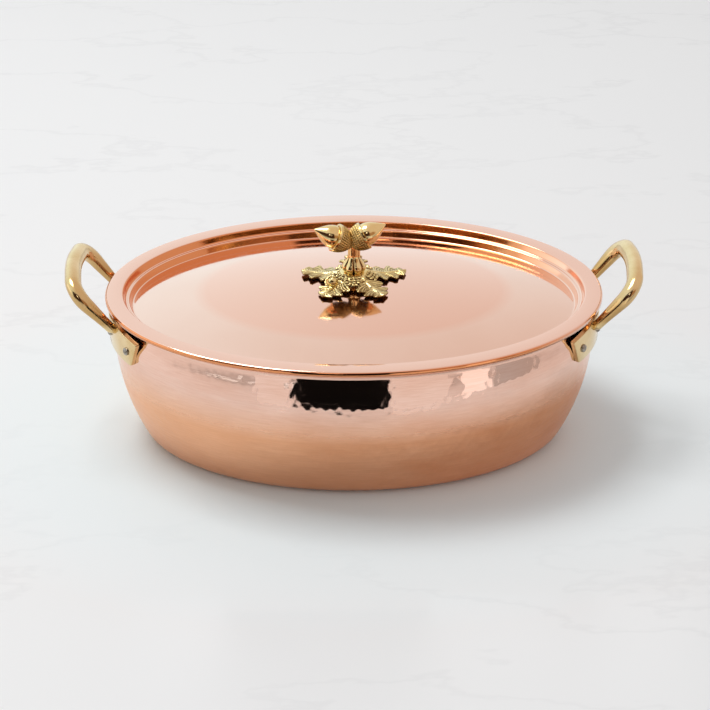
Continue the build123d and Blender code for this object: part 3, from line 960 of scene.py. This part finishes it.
# Petals: rounded ridges between sharp valleys, which open into notches at the foot
for vert in bm.verts:
    height = vert.co.z - stem_bottom
    reach = math.hypot(vert.co.x, vert.co.y)
    if reach > 0.5 * stem_waist_radius:
        angle = math.atan2(vert.co.y, vert.co.x) + petal_turn
        ridge = abs(math.cos(stem_petals / 2 * angle))
        valley = (1 - ridge) ** 3
        fade = max(0.0, 1 - height / (stem_waist_height + 2 * mm))
        swell = 1 + petal_swell * ridge * fade - petal_depth * valley * (0.25 + 0.75 * fade)
        vert.co.x *= swell
        vert.co.y *= swell
        vert[patina_and_shade] = valley
        if height < stem_bulge_height:
            vert.co.z += petal_notch * valley * (1 - height / stem_bulge_height)


def scale_cover(round_at, along, reach):
    """Height and depth of the cup's scales there: rows that part by half a scale, each rounded."""
    best = 0.0
    row = math.floor(along / scale_size)
    for r in (row - 1, row, row + 1):
        row_share = (r + 0.5) * scale_size / cup_slope_length
        row_reach = cup_radius * math.sqrt(max(0.02, 1 - row_share**2))
        count = max(5, round(2 * math.pi * row_reach / scale_size / scale_spacing))
        pitch = 2 * math.pi / count
        angle = (round_at / pitch - 0.5 * (r % 2)) % 1.0
        angle = min(angle, 1 - angle) * pitch * reach
        aside = angle / (scale_half_width * scale_size)
        over = (along - (r + 0.5) * scale_size) / (scale_half_length * scale_size)
        best = max(best, 1 - aside**2 - over**2)
    return math.sqrt(max(best, 0.0))


def cup_arc(turn):
    """Reach and height on the cup's outer curve, from its rim at 0 to its heel at 90 degrees."""
    turn = math.radians(turn)
    return cup_radius * math.cos(turn), cup_depth - (cup_depth + cup_heel) * math.sin(turn)


acorn = bmesh.new()
acorn_patina_and_shade = acorn.verts.layers.float.new("patina_and_shade")
last = acorn.verts.new((0, 0, -cup_heel))
for row in range(1, cup_rows + 1):
    reach, height = cup_arc(90 - 90 * row / cup_rows)
    last = profile_line(acorn, last, reach, height)
nut_radius = cup_radius - cup_lip
lip_top = cup_depth + 0.35 * mm
last = profile_bend(
    acorn, last, (cup_radius, lip_top), (nut_radius + 0.1 * mm, lip_top),
    (nut_radius - 0.1 * mm, cup_depth - 0.3 * mm), 7,
)
last = profile_line(acorn, last, nut_radius - 0.9 * mm, cup_depth - 0.8 * mm, 2)
last = profile_bend(
    acorn, last, (8.35 * mm, cup_depth + 3.2 * mm), (7.9 * mm, cup_depth + 4.0 * mm),
    (0.81 * nut_radius, cup_depth + 0.37 * nut_length), nut_rows // 2,
)
last = profile_bend(
    acorn, last, (6.2 * mm, cup_depth + 8.7 * mm), (2.4 * mm, cup_depth + 13.6 * mm),
    (nut_tip_radius, cup_depth + nut_length - 0.3 * mm), nut_rows,
)
profile_line(acorn, last, 0, cup_depth + nut_length, 2)
spin_round(acorn, cup_turns)
acorn.normal_update()
lip_start = cup_depth - cup_lip_width
for vert in acorn.verts:
    reach = math.hypot(vert.co.x, vert.co.y)
    on_cup = vert.co.z < cup_depth and (reach > nut_radius or vert.co.z < lip_start)
    if on_cup and vert.co.z < lip_start:
        turn = math.acos(min(1.0, reach / cup_radius))
        cover = scale_cover(math.atan2(vert.co.y, vert.co.x), turn * cup_slope, reach)
        fade = min(1.0, reach / (2 * mm))
        vert[acorn_patina_and_shade] = (1 - cover) * 0.9
        vert.co += vert.normal * scale_height * (cover - 0.6) * fade
    elif on_cup:
        vert.co += vert.normal * cup_lip_swell
for face in acorn.faces:
    middle = face.calc_center_median()
    reach = math.hypot(middle.x, middle.y)
    face.material_index = 1 if middle.z < lip_start and reach > 0.5 * mm else 0

# The two acorns lean outwards, back to back, and what faces down gets painted shade
lean = Matrix.Rotation(math.radians(90 - acorn_tilt), 4, "Y")
for side in (0, 180):
    seat = Matrix.Rotation(math.radians(acorn_turn + side), 4, "Z") @ lean
    seat = Matrix.Translation(acorn_centre) @ seat
    placed = acorn.copy()
    bmesh.ops.transform(placed, matrix=seat, verts=placed.verts[:])
    placed.normal_update()
    patina_and_shade_layer = placed.verts.layers.float["patina_and_shade"]
    # Painted shade: darker wherever the surface faces down
    for vert in placed.verts:
        vert[patina_and_shade_layer] += max(0.0, -0.7 * vert.normal.z)
    join_shape(bm, placed)
acorn.free()
acorns = make_piece(bm, "twin_acorns_casting", [acorn_brass, cup_brass], sharp=70)
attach(acorns, "lid")
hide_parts("finial_acorns")


# Screw and washer under the lid: plain turned steel that clamps leaves and acorns to the dome.
# The solids of the frame have the right shape, so they only get their finish here.
steel_tones = ((0.45, 0.44, 0.43, 1), (0.68, 0.67, 0.65, 1))
rings_per_metre = 2546.48


def from_axis(tree, place, scale):
    """Distance from the middle of the floor, with its own scale along each axis."""
    flat = stretched(tree, place, scale)
    return add(tree, "VectorMath", {0: flat}, operation="LENGTH").outputs["Value"]


turned_steel, tree, shader, place = new_metal("turned steel", 0.3)
rings = from_axis(tree, place, (1, 1, 0))
rings = sums(tree, "SINE", sums(tree, "MULTIPLY", rings, 2 * math.pi * rings_per_metre), 0.0)
smears = noise(tree, place, 180.0, 4.0, 0.6)
tone = mixed(tree, between(tree, smears, 0.3, 0.7, 0, 1), *steel_tones)
surface(tree, shader, tone, between(tree, smears, 0.3, 0.7, 0.22, 0.42))
relief(tree, shader, sums(tree, "ADD", rings, sums(tree, "MULTIPLY", smears, 2.0)), 0.00001, 0.5)
for name in ("finial_washer", "finial_screw"):
    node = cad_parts[name]
    node.data.materials.clear()
    node.data.materials.append(turned_steel)


# Studio: a pale marble top, one soft key lamp from the left and a pale room
bpy.context.scene.view_settings.view_transform = "Standard"
marble_tones = ((0.845, 0.845, 0.85, 1), (0.875, 0.875, 0.875, 1))
vein_tone = (0.62, 0.62, 0.63, 1)
# Cool tint painted on the floor near the pan, taking out the red light that the copper throws there
bounce_cancelling_tint = (0.83, 0.93, 0.96, 1)
room_tones = ((1.0, 1.12, 1.17, 1), (0.79, 0.68, 0.63, 1))
side_wall_tone = (1.4, 1.44, 1.48, 1)
brown_wall_tone = (0.45, 0.27, 0.17, 1)
dark_wall_tone = (0.05, 0.022, 0.012, 1)
window_tone = (4.0, 4.0, 4.0, 1)
plain_light = (0.55, 0.55, 0.55, 1)
floor_drop = 0.3 * mm

camera_data = bpy.data.cameras.new("camera")
camera_data.lens = 107.85
camera_data.sensor_width = 36.0
camera_data.shift_x = 0.00135
camera = bpy.data.objects.new("camera", camera_data)
camera.location = (-0.0198, -1.3364, 0.7917)
camera.rotation_euler = (math.radians(61.2), 0, math.radians(-0.85))
bpy.context.scene.collection.objects.link(camera)
bpy.context.scene.camera = camera

floor_tone = bpy.data.materials.new("pale marble")
floor_tone.use_nodes = True
floor_shader = floor_tone.node_tree.nodes["Principled BSDF"]
floor_shader.inputs["Roughness"].default_value = 0.55
tree = floor_tone.node_tree
place = tree.nodes.new("ShaderNodeTexCoord").outputs["Object"]
near_pan = from_axis(tree, place, (4.8, 6.2, 0))
bent = noise(tree, stretched(tree, place, (1, 2.4, 1)), 2.2, 6.0, 0.6)
thread = sums(tree, "ABSOLUTE", sums(tree, "SUBTRACT", bent, 0.5), 0.0)
vein = sums(tree, "MULTIPLY", between(tree, thread, 0.0, 0.014, 1, 0), noise(tree, place, 5.0, 3.0))
tone = mixed(tree, noise(tree, place, 3.0, 4.0), *marble_tones)
tone = mixed(tree, sums(tree, "MULTIPLY", vein, 0.28), tone, vein_tone)
# Painted light: the cool tint near the pan keeps the shade on the floor grey, against the copper's
# red bounce light
tone = mixed(tree, between(tree, near_pan, 0.75, 1.6, 1, 0), tone, bounce_cancelling_tint)
tree.links.new(tone, floor_shader.inputs["Base Color"])
bm = bmesh.new()
bmesh.ops.create_circle(bm, cap_ends=True, segments=96, radius=6.0)
bmesh.ops.translate(bm, verts=bm.verts[:], vec=(0, 0, -floor_drop))
floor = make_piece(bm, "floor", [floor_tone])


def soft_lamp(name, place, aim, size, watts):
    """A square soft lamp that faces its aim."""
    data = bpy.data.lights.new(name, "AREA")
    data.shape = "RECTANGLE"
    data.size, data.size_y = size
    data.energy = watts
    lamp = bpy.data.objects.new(name, data)
    lamp.location = place
    lamp.rotation_euler = (Vector(aim) - Vector(place)).to_track_quat("-Z", "Y").to_euler()
    bpy.context.scene.collection.objects.link(lamp)


soft_lamp("key lamp", (-0.8, 0.35, 2.25), (0, 0, 0.05), (1.0, 1.0), 27)


def studio_card(name, left, right, near, top, grey):
    """An upright card on the table in front of the pan, seen only as a reflection in the metal."""
    card_tone = bpy.data.materials.new(name)
    card_tone.use_nodes = True
    tree = card_tone.node_tree
    tree.nodes.remove(tree.nodes["Principled BSDF"])
    glow = add(tree, "Emission", {"Color": (grey, grey, grey, 1), "Strength": 1.0})
    tree.links.new(glow.outputs[0], tree.nodes["Material Output"].inputs["Surface"])
    bm = bmesh.new()
    bmesh.ops.create_grid(bm, x_segments=1, y_segments=1, size=0.5)
    bmesh.ops.scale(bm, vec=(right - left, top, 1), verts=bm.verts[:])
    upright = Matrix.Rotation(math.pi / 2, 3, "X")
    bmesh.ops.rotate(bm, cent=(0, 0, 0), matrix=upright, verts=bm.verts[:])
    bmesh.ops.translate(bm, vec=((left + right) / 2, near, top / 2), verts=bm.verts[:])
    card = make_piece(bm, name, [card_tone])
    card.visible_camera = False
    card.visible_diffuse = False
    card.visible_shadow = False
    card.visible_transmission = False


studio_card("dark card", -0.085, 0.044, -0.232, 0.125, 0.004)
studio_card("bright card", 0.152, 0.220, -0.215, 0.15, 1.15)
studio_card("light card", -0.141, -0.087, -0.215, 0.12, 0.86)
studio_card("pale card", 0.046, 0.13, -0.215, 0.12, 0.86)
studio_card("grey card", 0.24, 0.52, -0.215, 0.11, 0.5)

world = bpy.data.worlds.new("studio")
world.use_nodes = True
bpy.context.scene.world = world
tree = world.node_tree
sky = tree.nodes["Background"]
ray = tree.nodes.new("ShaderNodeLightPath")
direction = tree.nodes.new("ShaderNodeTexCoord").outputs["Generated"]
sides = parts_of(tree, direction)

# Reflections see a room that is cool and bright low on the left, and warm and dimmer up right
warmth = sums(tree, "ADD", sides["X"], sums(tree, "MULTIPLY", sides["Z"], 0.9))
warmth = between(tree, warmth, -0.04, 0.96, 0, 1)
room = mixed(tree, warmth, *room_tones)

# On the left is a brighter wall. Behind the camera are the room's brown and dark walls, with one
# small window
ahead = sums(tree, "MAXIMUM", sums(tree, "MULTIPLY", sides["Y"], -1.0), 0.001)
across = sums(tree, "DIVIDE", sides["X"], ahead)
above = sums(tree, "DIVIDE", sides["Z"], ahead)


def opening(left, right, bottom, top):
    """A sharp-edged oblong on the wall behind the camera: 1 inside and 0 outside."""
    inside = between(tree, across, left, left + 0.02, 0, 1)
    inside = sums(tree, "MULTIPLY", inside, between(tree, across, right, right + 0.02, 1, 0))
    inside = sums(tree, "MULTIPLY", inside, between(tree, above, bottom, bottom + 0.02, 0, 1))
    return sums(tree, "MULTIPLY", inside, between(tree, above, top, top + 0.02, 1, 0))


beside = between(tree, sides["Z"], 0.55, 0.60, 1, 0)
beside = sums(tree, "MULTIPLY", between(tree, sides["X"], -0.94, -0.91, 1, 0), beside)
room = mixed(tree, beside, room, side_wall_tone)
room = mixed(tree, opening(0.0, 1.6, 0.02, 0.75), room, brown_wall_tone)
room = mixed(tree, opening(-1.5, 0.4, 0.02, 1.15), room, dark_wall_tone)
room = mixed(tree, opening(-0.24, -0.08, 0.62, 0.78), room, window_tone)
seen = sums(tree, "MAXIMUM", ray.outputs["Is Camera Ray"], ray.outputs["Is Glossy Ray"])
seen = sums(tree, "MAXIMUM", seen, ray.outputs["Is Transmission Ray"])
tree.links.new(mixed(tree, seen, plain_light, room), sky.inputs["Color"])
